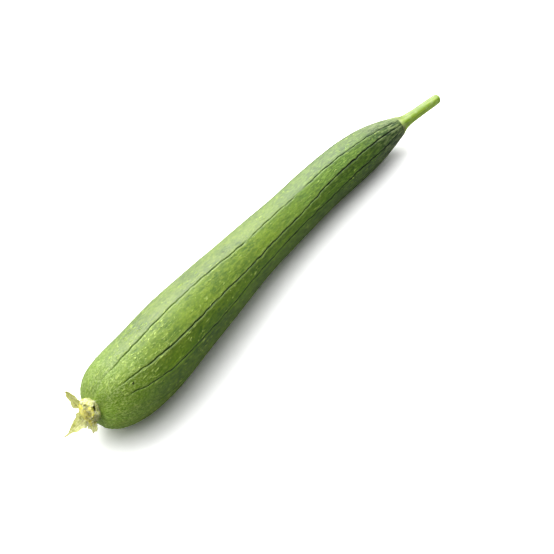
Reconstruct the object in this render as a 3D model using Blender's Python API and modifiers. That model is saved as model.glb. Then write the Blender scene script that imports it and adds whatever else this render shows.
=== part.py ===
"""A smooth sponge gourd, picked with its stalk and its withered flower, lying on a surface.

Metres, +Z up. The fruit lies along X with its stalk at +X and its blossom end at -X. The origin is on the
surface, under the middle of the whole gourd's box. Every natural form here is one primitive, a sphere or a
grid, with its points moved by a formula.
"""
from math import atan2, acos, cos, exp, pi, radians, sin, tau

import bmesh
import bpy
import numpy as np
from mathutils import Matrix, Vector

MM = 0.001

# Driving dimensions
FRUIT_LENGTH = 352 * MM  # blossom disc to stem disc
BELLY_RADIUS = 28 * MM  # thickest part, near the blossom end
NECK_RADIUS = 19.1 * MM  # slender part towards the stalk
BLOSSOM_DISC_RADIUS = 9.0 * MM  # scar that the calyx sits on
STEM_DISC_RADIUS = 8.6 * MM  # scar that the stalk sits on
PRESS = 0.6 * MM  # how far the resting spots are flattened by lying
STEM_LENGTH = 46.5 * MM
STEM_RADIUS = 4.4 * MM
FOOT_RADIUS = 7.8 * MM  # flared foot of the stalk
CUP_RADIUS = 8.8 * MM  # rim of the calyx cup
CUP_HEIGHT = 3.4 * MM
BLADE = 0.7 * MM  # thickness of sepals and dried petals
GAP = 0.3 * MM  # between pieces that touch

# Dark sunken lines down the fruit, as directions round its section (degrees, 0 is +Y, 90 is up) at stations
LINE_STATIONS = np.array([20, 60, 180, 300]) * MM
LINES = (
    (18, 12, 10, 12),
    (65, 57, 50, 50),
    (88, 85, 94, 97),
    (116, 126, 133, 125),
    (137, 150, 159, 152),
    (170, 184, 191, 185),
    (214, 220, 221, 216),
    (252, 254, 252, 250),
    (288, 288, 288, 288),
    (322, 325, 328, 330),
)
LINE_DEPTH = 0.35 * MM
LINE_WIDTH = 0.55 * MM
LINE_WANDER = 0.7 * MM
# How much of the groove there is, and how flat the facets between lines are, at shares of the way along
LINE_PRESENCE = ((0, 0.1, 0.17, 0.95, 1), (0, 0, 1, 1, 0.5))
FACET_FLATNESS = ((0, 0.08, 0.3, 0.6, 0.9, 1), (0, 0.08, 0.25, 0.4, 0.45, 0.2))
SWELL = 0.004  # each of the low swellings of the skin, as a share of the radius
# Where the mesh columns lie between one line (0) and the next (1); the close ones shape the line itself
COLUMNS = (0, 0.05, 0.14, 0.3, 0.5, 0.7, 0.86, 0.95)
FRUIT_ROWS = 46

STEM_SIDES = 30
STEM_ROWS = 22

random = np.random.default_rng(21)

for old in list(bpy.data.objects):
    bpy.data.objects.remove(old, do_unlink=True)

gourd = bpy.data.collections.new("sponge_gourd")
bpy.context.scene.collection.children.link(gourd)
rest_point = bpy.data.objects.new("rest_point", None)
gourd.objects.link(rest_point)


def smooth(knots, values, at):
    """The value at a place among the knots, on a smooth curve through all the values."""
    knots = np.asarray(knots, float)
    values = np.asarray(values, float)
    slopes = np.gradient(values, knots, axis=0)
    i = int(np.clip(np.searchsorted(knots, at) - 1, 0, len(knots) - 2))
    span = knots[i + 1] - knots[i]
    t = (at - knots[i]) / span
    ends = (1 + 2 * t) * (1 - t) ** 2 * values[i] + t * t * (3 - 2 * t) * values[i + 1]
    return ends + span * t * (1 - t) * ((1 - t) * slopes[i] - t * slopes[i + 1])


def outline(points, share):
    """The point at a share of the way along a smooth outline, where short spans take more of the way."""
    points = np.asarray(points, float)
    steps = np.sqrt(np.linalg.norm(np.diff(points, axis=0), axis=1))
    knots = np.concatenate([[0], np.cumsum(steps)])
    return smooth(knots, points, share * knots[-1])


def material(name, colour, roughness):
    """A plain matte vegetable surface."""
    made = bpy.data.materials.new(name)
    made.use_nodes = True
    shader = made.node_tree.nodes["Principled BSDF"]
    shader.inputs["Base Color"].default_value = (*colour, 1)
    shader.inputs["Roughness"].default_value = roughness
    shader.inputs["Metallic"].default_value = 0
    return made


def add_object(name, mesh, colour_material, location=(0, 0, 0), rotation=(0, 0, 0)):
    """Puts a mesh in the gourd's collection, at its place."""
    made = bpy.data.objects.new(name, mesh)
    made.data.materials.clear()
    made.data.materials.append(colour_material)
    made.location = location
    made.rotation_euler = rotation
    made.parent = rest_point
    gourd.objects.link(made)
    made.data.shade_smooth()
    return made


def moulded_sphere(name, columns, rows, place):
    """A closed mesh: a UV sphere whose points are moved to place(column, row), row 0 being the top pole."""
    shape = bmesh.new()
    bmesh.ops.create_uvsphere(shape, u_segments=columns, v_segments=rows, radius=1)
    for point in shape.verts:
        row = round(acos(max(-1, min(1, point.co.z))) / pi * rows)
        column = round(atan2(point.co.y, point.co.x) / tau * columns) % columns
        point.co = place(column, row)
    mesh = bpy.data.meshes.new(name)
    shape.to_mesh(mesh)
    shape.free()
    return mesh


def blade(name, across, along, place):
    """A thin closed leaf: a grid moved to place(u, v) and made solid, u from -1 to 1, v from 0 to 1."""
    shape = bmesh.new()
    bmesh.ops.create_grid(shape, x_segments=across, y_segments=along, size=1)
    for point in shape.verts:
        point.co = place(point.co.x, (point.co.y + 1) / 2)
    bmesh.ops.triangulate(shape, faces=shape.faces)
    mesh = bpy.data.meshes.new(name)
    shape.to_mesh(mesh)
    shape.free()
    leaf = bpy.data.objects.new(name, mesh)
    solid = leaf.modifiers.new("thickness", "SOLIDIFY")
    solid.thickness = BLADE
    solid.offset = 0
    return leaf


def fuse(base, leaves):
    """Joins the leaves to the base mesh as one closed body."""
    core = bpy.data.objects.new("core", base)
    gourd.objects.link(core)
    loose = bpy.data.collections.new("loose")
    bpy.context.scene.collection.children.link(loose)
    for leaf in leaves:
        loose.objects.link(leaf)
    union = core.modifiers.new("join", "BOOLEAN")
    union.operation = "UNION"
    union.operand_type = "COLLECTION"
    union.solver = "MANIFOLD"
    union.collection = loose
    seen = core.evaluated_get(bpy.context.evaluated_depsgraph_get())
    joined = bpy.data.meshes.new_from_object(seen)
    for used in [core, *leaves]:
        bpy.data.objects.remove(used, do_unlink=True)
    bpy.data.collections.remove(loose)
    shape = bmesh.new()
    shape.from_mesh(joined)
    bmesh.ops.triangulate(shape, faces=shape.faces)
    shape.to_mesh(joined)
    shape.free()
    return joined


# Fruit: its side outline as distance from the blossom disc and radius
FRUIT_SIDE = np.array([
    (0, BLOSSOM_DISC_RADIUS),
    (1.8 * MM, 14.2 * MM),
    (5.5 * MM, 19.0 * MM),
    (13 * MM, 23.6 * MM),
    (28 * MM, 26.9 * MM),
    (52 * MM, BELLY_RADIUS),
    (87 * MM, 27.2 * MM),
    (127 * MM, 24.8 * MM),
    (172 * MM, 21.6 * MM),
    (217 * MM, 19.7 * MM),
    (262 * MM, NECK_RADIUS),
    (295 * MM, 18.7 * MM),
    (319 * MM, 16.6 * MM),
    (338 * MM, 12.6 * MM),
    (FRUIT_LENGTH, STEM_DISC_RADIUS),
])
# The fruit's middle line as distance, sideways bend and height: it hooks at both ends
SPINE = np.array([
    (0, 4.6 * MM, 32.2 * MM),
    (9 * MM, 3.9 * MM, 30.2 * MM),
    (22 * MM, 3.1 * MM, 28.7 * MM),
    (47 * MM, 2.4 * MM, BELLY_RADIUS),
    (87 * MM, 5.2 * MM, 27.8 * MM),
    (127 * MM, 7.6 * MM, 26.2 * MM),
    (172 * MM, 9.7 * MM, 23.6 * MM),
    (217 * MM, 10.8 * MM, 21.1 * MM),
    (262 * MM, 11.0 * MM, 19.4 * MM),
    (295 * MM, 9.9 * MM, 18.2 * MM),
    (327 * MM, 6.3 * MM, 17.6 * MM),
    (FRUIT_LENGTH, 2.0 * MM, 17.9 * MM),
])
LINE_PHASES = random.uniform(0, tau, (len(LINES), 2))
SWELL_PHASES = random.uniform(0, tau, 4)


def spine(distance):
    """Middle of the fruit's section at a distance from the blossom disc."""
    side, height = smooth(SPINE[:, 0], SPINE[:, 1:], distance)
    return Vector((distance - FRUIT_LENGTH / 2, side, height - PRESS))


def section(distance):
    """The section there: its middle, the way along the fruit, the way to +Y and the way up."""
    step = 1 * MM
    along = (spine(min(distance + step, FRUIT_LENGTH)) - spine(max(distance - step, 0))).normalized()
    across = Vector((0, 0, 1)).cross(along).normalized()
    return spine(distance), along, across, along.cross(across)


def turned(x_way, y_way, z_way):
    """The rotation that lays an object's axes along three ways."""
    return Matrix((x_way, y_way, z_way)).transposed().to_euler()


def line_angle(number, distance, radius):
    """Direction of a dark line, which drifts round the fruit and wanders a little on its way."""
    turn, number = divmod(number, len(LINES))
    near = min(max(distance, LINE_STATIONS[0]), LINE_STATIONS[-1])
    first, second = LINE_PHASES[number]
    share = distance / FRUIT_LENGTH
    wander = sin(tau * 1.6 * share + first) + 0.4 * sin(tau * 5 * share + second)
    drift = radians(smooth(LINE_STATIONS, LINES[number], near))
    return drift + tau * turn + wander * LINE_WANDER / max(radius, 12 * MM)


def fruit_point(column, row):
    """A point of the fruit's skin: nearly flat facets, with a line along each edge between them."""
    if row in (0, FRUIT_ROWS):
        return spine(FRUIT_LENGTH if row == 0 else 0)
    distance, radius = outline(FRUIT_SIDE, (FRUIT_ROWS - 1 - row) / (FRUIT_ROWS - 2))
    share = distance / FRUIT_LENGTH
    number, step = divmod(column, len(COLUMNS))
    start = line_angle(number, distance, radius)
    end = line_angle(number + 1, distance, radius)
    angle = start + COLUMNS[step] * (end - start)
    half = (end - start) / 2
    chord = cos(half) / cos(angle - start - half)
    flatness = smooth(*FACET_FLATNESS, share)
    swell = 0
    for k, phase in enumerate(SWELL_PHASES):
        swell += SWELL * sin(pi * share) * sin(tau * (k + 1.3) * share + (k % 3 + 1) * angle + phase)
    from_line = min(angle - start, end - angle) * radius
    groove = LINE_DEPTH * max(smooth(*LINE_PRESENCE, share), 0) * exp(-((from_line / LINE_WIDTH) ** 2))
    reach = radius * (1 - flatness * (1 - chord)) * (1 + swell) - groove
    middle, along, across, up = section(distance)
    point = middle + across * (reach * cos(angle)) + up * (reach * sin(angle))
    return Vector((point.x, point.y, max(0, point.z)))


skin = material("gourd_skin", (0.22, 0.40, 0.09), 0.45)
fruit_mesh = moulded_sphere("fruit_body", len(LINES) * len(COLUMNS), FRUIT_ROWS, fruit_point)
fruit = add_object("fruit_body", fruit_mesh, skin)

# Stem: its side outline as distance from the fruit and radius, and its five low angles
STEM_SIDE = np.array([
    (0, FOOT_RADIUS),
    (2 * MM, 7.3 * MM),
    (5 * MM, 6.1 * MM),
    (10 * MM, 5.1 * MM),
    (22 * MM, STEM_RADIUS),
    (36 * MM, 4.2 * MM),
    (STEM_LENGTH - 1.6 * MM, 3.9 * MM),
    (STEM_LENGTH - 0.4 * MM, 3.4 * MM),
    (STEM_LENGTH, 2.6 * MM),
])
STEM_TURN = -1 * MM  # how far the cut end has bent aside
STEM_LIFT = 2 * MM  # how far it has bent up
STEM_ANGLES = 5
STEM_ANGLE_HEIGHT = 0.03  # of the radius
FOOT_ANGLE_HEIGHT = 0.07  # added to it at the foot
FOOT_SHARE = 1 / 6  # of the stalk's length
PITH_DEPTH = 0.7 * MM  # hollow in the cut end


def stem_point(column, row):
    """A point of the stalk, in its own frame with +Z away from the fruit and +X down."""
    if row == STEM_ROWS:
        return Vector((0, 0, GAP))
    if row == 0:
        distance, radius = STEM_LENGTH - PITH_DEPTH, 0
    else:
        distance, radius = outline(STEM_SIDE, (STEM_ROWS - 1 - row) / (STEM_ROWS - 2))
    angle = tau * column / STEM_SIDES
    share = distance / STEM_LENGTH
    lobes = STEM_ANGLE_HEIGHT + FOOT_ANGLE_HEIGHT * max(0, 1 - share / FOOT_SHARE)
    reach = radius * (1 + lobes * cos(STEM_ANGLES * angle))
    bend = share ** 1.5
    down = reach * cos(angle) - STEM_LIFT * bend
    return Vector((down, reach * sin(angle) + STEM_TURN * bend, GAP + distance))


stalk_green = material("stem_green", (0.38, 0.56, 0.09), 0.5)
stem_mesh = moulded_sphere("stem", STEM_SIDES, STEM_ROWS, stem_point)
stem_place, along, across, up = section(FRUIT_LENGTH)
stem = add_object("stem", stem_mesh, stalk_green, stem_place, turned(-up, across, along))

# Calyx: a short cup with five dried sepals, in its own frame with +Z away from the fruit and +X up
CUP_SIDES = 32
CUP_ROWS = 14
CUP_WALL = 1.6 * MM
CUP_FLOOR = 1.4 * MM
CUP_SIDE = np.array([
    (CUP_RADIUS - 1.2 * MM, 0),
    (CUP_RADIUS - 1.0 * MM, 1 * MM),
    (CUP_RADIUS - 0.3 * MM, 2.6 * MM),
    (CUP_RADIUS, CUP_HEIGHT - 0.4 * MM),
    (CUP_RADIUS - CUP_WALL / 2, CUP_HEIGHT),
    (CUP_RADIUS - CUP_WALL, CUP_HEIGHT - 0.6 * MM),
    (CUP_RADIUS - CUP_WALL - 0.4 * MM, CUP_FLOOR + 0.4 * MM),
    (CUP_RADIUS - CUP_WALL - 1.4 * MM, CUP_FLOOR),
])
ROOT_RADIUS = CUP_RADIUS - CUP_WALL / 2
ROOT_HEIGHT = 2.2 * MM
# Each sepal: where it grows round the cup, then where its blade narrows (direction, distance out, forward),
# how far out and forward its middle bulges, its width, and how much further out and forward its tip is
SEPALS = (
    (80, 62, 18.2, 8.8, 13.2, 6.8, 11.0, 0.6, 2.6),
    (164, 166, 16.5, 14.0, 13.2, 7.2, 11.6, 3.2, 7.0),
    (218, 216, 14.4, 6.0, 12.6, 5.2, 12.4, 0.8, 1.0),
    (284, 294, 10.8, 8.6, 10.9, 5.6, 8.4, -1.4, 1.4),
    (6, -8, 9.8, 9.0, 10.7, 6.0, 9.0, -1.4, 1.6),
)
SEPAL_SHAPE = ((0, 0.12, 0.35, 0.6, 0.8, 1), (0.75, 0.92, 1, 0.72, 0.24, 0.05))
SEPAL_CUPPING = 0.25
SEPAL_WAVE = 0.9 * MM


def cup_point(column, row):
    """A point of the calyx cup, from the middle of its floor (row 0) over the rim and down to its base."""
    if row == CUP_ROWS:
        return Vector((0, 0, GAP))
    if row == 0:
        return Vector((0, 0, GAP + CUP_FLOOR))
    radius, height = outline(CUP_SIDE, (CUP_ROWS - 1 - row) / (CUP_ROWS - 2))
    angle = tau * column / CUP_SIDES
    return Vector((radius * cos(angle), radius * sin(angle), GAP + height))


def polar(angle, out, forward):
    """A point round the flower's axis."""
    return Vector((out * cos(angle), out * sin(angle), forward))


def bent_blade(name, line, width, shape, cupping, wave, phase, across=6, along=16):
    """A leaf along a line of points, with a width that follows shape, a cupped section and waved edges."""
    knots = np.linspace(0, 1, len(line))

    def place(u, v):
        here = Vector(smooth(knots, line, v))
        ahead = Vector(smooth(knots, line, min(v + 0.02, 1)))
        behind = Vector(smooth(knots, line, max(v - 0.02, 0)))
        forward = (ahead - behind).normalized()
        around = Vector((-here.y, here.x, 0))
        aside = (around - forward * around.dot(forward)).normalized()
        up = forward.cross(aside)
        half = width / 2 * smooth(*shape, v)
        turn = tau * 2.6 * v + phase + (pi / 2 if u > 0 else 0)
        ripple = wave * sin(turn) * abs(u) ** 1.5 * min(1, 4 * v)
        return here + aside * half * u + up * (cupping * half * u * u + ripple * half / (width / 2))

    return blade(name, across, along, place)


sepals = []
for number, sepal in enumerate(SEPALS):
    grows, points, out, forward, bulge_out, bulge_forward, width, point_out, point_forward = sepal
    root_angle = radians(grows)
    tip_angle = radians(points)
    middle_angle = (root_angle + tip_angle) / 2
    route = [
        polar(root_angle, ROOT_RADIUS, ROOT_HEIGHT),
        polar(root_angle, ROOT_RADIUS + 1.2 * MM, CUP_HEIGHT + 1.5 * MM),
        polar(middle_angle, bulge_out * MM, bulge_forward * MM),
        polar(tip_angle, out * MM, forward * MM),
        polar(tip_angle, (out + point_out) * MM, (forward + point_forward) * MM),
    ]
    phase = random.uniform(0, tau)
    bent = bent_blade(f"sepal_{number}", route, width * MM, SEPAL_SHAPE, SEPAL_CUPPING, SEPAL_WAVE, phase)
    sepals.append(bent)

dried_sepal = material("dried_sepal", (0.62, 0.56, 0.22), 0.7)
cup_mesh = moulded_sphere("calyx", CUP_SIDES, CUP_ROWS, cup_point)
flower_place, along, across, up = section(0)
flower_turn = turned(up, across, -along)
calyx = add_object("calyx", fuse(cup_mesh, sepals), dried_sepal, flower_place, flower_turn)

# Withered corolla: a small core with crumpled petals folded round it
CORE_SIDES = 16
CORE_ROWS = 10
CORE_RADIUS = 5.2 * MM
CORE_HEIGHT = 7.6 * MM
CORE_FOOT = GAP + CUP_FLOOR + GAP
PETALS = 5
PETAL_WIDTH = 7.6 * MM
PETAL_SHAPE = ((0, 0.3, 0.6, 1), (0.4, 0.85, 1, 0.5))
PETAL_CUPPING = 0.22
PETAL_WAVE = 0.7 * MM


def core_point(column, row):
    """A point of the corolla's core, a dented egg standing in the cup."""
    angle = tau * column / CORE_SIDES
    slope = pi * row / CORE_ROWS
    dent = 1 + 0.08 * sin(3 * angle + 4 * slope)
    out = CORE_RADIUS * sin(slope) * dent
    return polar(angle, out, CORE_FOOT + CORE_HEIGHT * (1 + cos(slope)) / 2)


petals = []
for number in range(PETALS):
    start = tau * number / PETALS + random.uniform(-0.2, 0.2)
    twist = random.uniform(0.5, 1.0)
    top = random.uniform(6.5, 8.5) * MM
    end_out = random.uniform(2.4, 4.4) * MM
    route = [
        polar(start, 3.0 * MM, CORE_FOOT + 0.9 * MM),
        polar(start + 0.35 * twist, 5.8 * MM, CORE_FOOT + 3.0 * MM),
        polar(start + 0.8 * twist, 6.6 * MM, CORE_FOOT + 5.2 * MM),
        polar(start + 1.3 * twist, end_out, CORE_FOOT + top),
    ]
    phase = random.uniform(0, tau)
    look = (PETAL_WIDTH, PETAL_SHAPE, PETAL_CUPPING, PETAL_WAVE, phase)
    bent = bent_blade(f"petal_{number}", route, *look, across=5, along=10)
    petals.append(bent)

dried_petal = material("dried_petal", (0.66, 0.55, 0.20), 0.75)
core_mesh = moulded_sphere("withered_corolla", CORE_SIDES, CORE_ROWS, core_point)
corolla = add_object("withered_corolla", fuse(core_mesh, petals), dried_petal, flower_place, flower_turn)

# Origin: under the middle of the whole gourd's box
bpy.context.view_layer.update()
pieces = (fruit, stem, calyx, corolla)
corners = [piece.matrix_world @ point.co for piece in pieces for point in piece.data.vertices]
low = Vector(min(corner[axis] for corner in corners) for axis in range(3))
high = Vector(max(corner[axis] for corner in corners) for axis in range(3))
rest_point.location = (-(low.x + high.x) / 2, -(low.y + high.y) / 2, -low.z)
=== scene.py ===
# %% [markdown]
# # A smooth sponge gourd
# A sponge gourd is a long green fruit of a climbing vine. This one was picked with a piece of its stalk at
# one end and the withered flower at the other, and it lies on a surface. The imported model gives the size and
# place of its four pieces. Here each one is made again, finer, over the same form: the skin with its dark
# sunken lines and pale flecks, the angled stalk, the dried sepals and the crumpled petals.

from functools import partial, reduce
from math import cos, pi, radians, sin, tau

import bpy
import numpy as np
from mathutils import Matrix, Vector


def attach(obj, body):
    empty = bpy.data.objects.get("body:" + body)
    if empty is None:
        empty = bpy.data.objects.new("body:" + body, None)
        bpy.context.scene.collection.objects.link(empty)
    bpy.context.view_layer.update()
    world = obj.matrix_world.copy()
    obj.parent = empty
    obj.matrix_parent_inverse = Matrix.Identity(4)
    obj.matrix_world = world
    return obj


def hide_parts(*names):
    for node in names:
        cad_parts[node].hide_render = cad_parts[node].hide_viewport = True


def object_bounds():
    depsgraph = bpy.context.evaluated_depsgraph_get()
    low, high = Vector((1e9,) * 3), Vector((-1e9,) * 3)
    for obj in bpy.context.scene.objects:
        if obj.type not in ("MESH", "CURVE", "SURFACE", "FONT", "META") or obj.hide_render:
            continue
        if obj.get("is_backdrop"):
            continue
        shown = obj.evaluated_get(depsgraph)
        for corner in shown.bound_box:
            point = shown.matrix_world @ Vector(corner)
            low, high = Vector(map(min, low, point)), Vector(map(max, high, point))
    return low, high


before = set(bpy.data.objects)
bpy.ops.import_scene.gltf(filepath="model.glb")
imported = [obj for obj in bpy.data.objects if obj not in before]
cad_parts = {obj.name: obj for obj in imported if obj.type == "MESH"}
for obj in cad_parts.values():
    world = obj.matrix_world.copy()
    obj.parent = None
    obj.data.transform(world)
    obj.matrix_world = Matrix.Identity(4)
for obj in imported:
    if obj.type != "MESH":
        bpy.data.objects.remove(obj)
cad_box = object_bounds()
MM = 0.001
print("CAD box in mm:", [[round(value / MM, 1) for value in corner] for corner in cad_box])

# %% [markdown]
# ## Camera
# A long lens at almost a metre keeps the two ends of a long thing close to the same size, as in a shop
# picture. The camera stands over the flower end and looks down on the fruit, so it runs up the picture from
# corner to corner.

# %% Camera
AIM = Vector((-20.0, -23.69, 25.0)) * MM
CAMERA_DISTANCE = 0.9492
AZIMUTH, ELEVATION = radians(-51.93), radians(52)
LENS = 85

def show(name, data):
    """Puts a camera, a lamp or a mesh in the scene, at the origin."""
    piece = bpy.data.objects.new(name, data)
    bpy.context.scene.collection.objects.link(piece)
    return piece

back = Vector((sin(AZIMUTH) * cos(ELEVATION), -cos(AZIMUTH) * cos(ELEVATION), sin(ELEVATION)))
camera = show("camera", bpy.data.cameras.new("camera"))
camera.data.lens = LENS
camera.location = AIM + back * CAMERA_DISTANCE
camera.rotation_euler = back.to_track_quat("Z", "Y").to_euler()
bpy.context.scene.camera = camera
print("camera at", [round(value, 3) for value in camera.location])

# %% [markdown]
# ## Nodes in few words
# Materials and geometry trees are both graphs of nodes, so a few small helpers can write either. The first
# makes a node, and each input is given as a number, a colour, or the output of another node, which then gets
# a wire.

# %% Helpers for node graphs
def add(tree, kind, inputs=None, **settings):
    """Adds a node. An input is set, or wired if its value is another node's output."""
    made = tree.nodes.new(kind)
    for name, value in settings.items():
        setattr(made, name, value)
    for name, value in (inputs or {}).items():
        if isinstance(value, bpy.types.NodeSocket):
            tree.links.new(value, made.inputs[name])
        else:
            made.inputs[name].default_value = value
    return made

def maths(tree, operation, *values):
    """A piece of arithmetic on one to three numbers."""
    return add(tree, "ShaderNodeMath", dict(enumerate(values)), operation=operation).outputs[0]

def product(tree, *values):
    """All the numbers multiplied."""
    return reduce(partial(maths, tree, "MULTIPLY"), values)

def total(tree, *values):
    """All the numbers added up."""
    return reduce(partial(maths, tree, "ADD"), values)

def sloped(tree, value, start, slope):
    """A number that is start where the value is 0, and changes by slope for each 1 of it."""
    return maths(tree, "MULTIPLY_ADD", value, slope, start)

def eased(tree, value, start, end, low=0.0, high=1.0):
    """Goes smoothly from low to high while value goes from start to end."""
    sizes = {"Value": value, "From Min": start, "From Max": end, "To Min": low, "To Max": high}
    return add(tree, "ShaderNodeMapRange", sizes, interpolation_type="SMOOTHSTEP").outputs[0]

def vectors(tree, operation, *values):
    """Arithmetic on vectors. A distance and a dot product give a number, all the rest a vector."""
    made = add(tree, "ShaderNodeVectorMath", dict(enumerate(values)), operation=operation)
    return made.outputs["Value" if operation in ("DISTANCE", "DOT_PRODUCT") else "Vector"]

def split(tree, vector):
    """The three numbers of a vector."""
    return add(tree, "ShaderNodeSeparateXYZ", {0: vector}).outputs

def noise(tree, place, scale, detail, roughness=0.5, distortion=0.0):
    """Cloudy noise round 0.5 at a place."""
    names = ("Vector", "Scale", "Detail", "Roughness", "Distortion")
    sizes = dict(zip(names, (place, scale, detail, roughness, distortion)))
    return add(tree, "ShaderNodeTexNoise", sizes).outputs[0]

print("node helpers ready")

# %% [markdown]
# ## Materials in few words
# A material sets some inputs of one shader, the Principled one, and wires others. Most of the work goes into
# its colour, where one layer is laid over another. Colours are written as six digits, as in a paint program,
# and turned into the linear values that a shader counts in.

# %% Helpers for materials
def colour(code):
    """The linear values of a colour written as six hexadecimal digits."""
    parts = [int(code[start : start + 2], 16) / 255 for start in (0, 2, 4)]
    return (*[part / 12.92 if part <= 0.04045 else ((part + 0.055) / 1.055) ** 2.4 for part in parts], 1)

def tint(tree, amount, under, over, mode="MIX"):
    """Lays a colour over another by an amount from 0 to 1. Either may be written as six digits."""
    under, over = (colour(item) if isinstance(item, str) else item for item in (under, over))
    inputs = {0: amount, 6: under, 7: over}
    return add(tree, "ShaderNodeMix", inputs, data_type="RGBA", blend_type=mode).outputs[2]

def new_material(name, inputs):
    """A material with its tree and its Principled shader, some of whose inputs are set."""
    made = bpy.data.materials.new(name)
    made.use_nodes = True
    shader = made.node_tree.nodes["Principled BSDF"]
    for title, value in inputs.items():
        shader.inputs[title].default_value = value
    return made, made.node_tree, shader

print("a mid green in linear values:", [round(part, 3) for part in colour("4E7410")])

# %% [markdown]
# ## Studio
# The photo's background is white, without a horizon, and its light is wide and soft, from above and behind.
# So the world is brightest behind, and with a panel there it gives the fruit's upper side its long pale
# sheen. Little light comes back from below in the photo: here the floor is white for the camera, grey for
# light that bounces off it and darker still where the waxy skin mirrors it.

# %% Floor, lights and world
LIGHTS = (  # name, the way to it, its distance, width and height in metres, its power in watts
    ("key", (0.0, 0.5, 0.866), 1.5, 1.2, 1.2, 8.2),
    ("front", (-0.4, 0.2, 0.9), 1.5, 1.2, 1.2, 6),
    ("sheen", (0.45, 0.65, 0.62), 1.4, 1.0, 0.6, 14.5),
)
FLOOR_SIZE, FLOOR_HEIGHT = 30, -0.1 * MM
FLOOR_SEEN = (1.35, 1.35, 1.35, 1)
FLOOR_BOUNCED, FLOOR_MIRRORED = (0.36, 0.36, 0.35, 1), (0.24, 0.24, 0.23, 1)
BRIGHTEST_WAY = (0.2, 0.8, 0.5)
SKY_EDGES, SKY_STRENGTHS = (-0.35, 0.95), (0.0, 1.75)

for name, way, distance, width, height, watts in LIGHTS:
    data = bpy.data.lights.new(name, "AREA")
    data.shape = "RECTANGLE"
    data.size, data.size_y, data.energy = width, height, watts
    way = Vector(way).normalized()
    light = show(name, data)
    light.location = way * distance
    light.rotation_euler = way.to_track_quat("Z", "Y").to_euler()

bpy.ops.mesh.primitive_plane_add(size=FLOOR_SIZE, location=(0, 0, FLOOR_HEIGHT))
floor = bpy.context.object
floor.name = "floor"
floor_white, tree, shader = new_material("floor_white", {"Roughness": 1})
ray = add(tree, "ShaderNodeLightPath").outputs
white = tint(tree, ray["Is Glossy Ray"], FLOOR_BOUNCED, FLOOR_MIRRORED)
white = tint(tree, ray["Is Camera Ray"], white, FLOOR_SEEN)
tree.links.new(white, shader.inputs["Base Color"])
floor.data.materials.append(floor_white)
floor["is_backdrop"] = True

world = bpy.data.worlds.new("studio")
world.use_nodes = True
sky = world.node_tree
background = sky.nodes["Background"].inputs
facing = vectors(sky, "DOT_PRODUCT", add(sky, "ShaderNodeTexCoord").outputs["Generated"], BRIGHTEST_WAY)
sky.links.new(eased(sky, facing, *SKY_EDGES, *SKY_STRENGTHS), background["Strength"])
background["Color"].default_value = (1, 1, 1, 1)
bpy.context.scene.world = world
bpy.context.scene.view_settings.view_transform = "Standard"
print("lights:", [item.name for item in bpy.data.lights])

# %% [markdown]
# ## The form of the fruit
# The fruit is a tube round a bent middle line. Its side outline gives the radius at each distance from the
# blossom end, and the middle line gives the place. The tables are the same as in the part's own source, so
# the fine skin lies where the CAD solid lies.

# %% Outline and middle line
FRUIT_LENGTH = 352 * MM
PRESS = 0.6 * MM  # how far the gourd settles on the two flat spots where it rests
SHIFT = Vector((-11.008, -3.386, 0)) * MM  # brings the middle of the whole gourd's box to the origin
FRUIT_SIDE = np.array([  # distance from the blossom end, radius
    (0, 9.0), (1.8, 14.2), (5.5, 19.0), (13, 23.6), (28, 26.9), (52, 28), (87, 27.2), (127, 24.8),
    (172, 21.6), (217, 19.7), (262, 19.1), (295, 18.7), (319, 16.6), (338, 12.6), (352, 8.6),
]) * MM
SPINE = np.array([  # distance from the blossom end, place to the side, height
    (0, 4.6, 32.2), (9, 3.9, 30.2), (22, 3.1, 28.7), (47, 2.4, 28), (87, 5.2, 27.8), (127, 7.6, 26.2),
    (172, 9.7, 23.6), (217, 10.8, 21.1), (262, 11.0, 19.4), (295, 9.9, 18.2), (327, 6.3, 17.6),
    (352, 2.0, 17.9),
]) * MM
print("thickest:", round(2 * FRUIT_SIDE[:, 1].max() / MM, 1), "mm")

# %% [markdown]
# ## From tables to places
# A curve goes smoothly through the numbers of a table. With the middle line as such a curve, every place
# along the fruit has a section: its middle, and the ways along, across and up from there. A point of the skin
# is then a distance out from the middle in some direction between across and up.

# %% Curves and sections
def smooth(knots, values, at):
    """Values on a smooth curve through all the knots, at one place or at many."""
    knots, values, at = (np.asarray(item, float) for item in (knots, values, at))
    slopes = np.gradient(values, knots, axis=0)
    before = np.clip(np.searchsorted(knots, at) - 1, 0, len(knots) - 2)
    span = knots[before + 1] - knots[before]
    part = (at - knots[before]) / span
    if values.ndim > 1:
        span, part = span[..., None], part[..., None]
    start, end = values[before], values[before + 1]
    level = (1 + 2 * part) * (1 - part) ** 2 * start + part * part * (3 - 2 * part) * end
    return level + span * part * (1 - part) * ((1 - part) * slopes[before] - part * slopes[before + 1])

def outline(points, share):
    """Points at shares of the way along a smooth outline, where short spans take more of the way."""
    steps = np.sqrt(np.linalg.norm(np.diff(points, axis=0), axis=1))
    knots = np.concatenate([[0], np.cumsum(steps)])
    return smooth(knots, points, np.asarray(share) * knots[-1])

def spine(distance):
    """Middle of the fruit's section at each distance from the blossom end."""
    side, height = smooth(SPINE[:, 0], SPINE[:, 1:], distance).T
    return np.stack([distance - FRUIT_LENGTH / 2, side, height - PRESS], axis=-1) + np.array(SHIFT)

def unit(ways):
    """The same directions with length one."""
    return ways / np.linalg.norm(ways, axis=-1, keepdims=True)

def section(distance):
    """Middle, way along, way across and way up of the section at each distance."""
    distance = np.atleast_1d(np.asarray(distance, float))
    ahead = spine(np.minimum(distance + 1 * MM, FRUIT_LENGTH))
    behind = spine(np.maximum(distance - 1 * MM, 0))
    along = unit(ahead - behind)
    across = unit(np.cross((0, 0, 1), along))
    return spine(distance), along, across, np.cross(along, across)

print("the middle of the blossom end in mm:", np.round(section(0)[0][0] / MM, 1))

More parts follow.
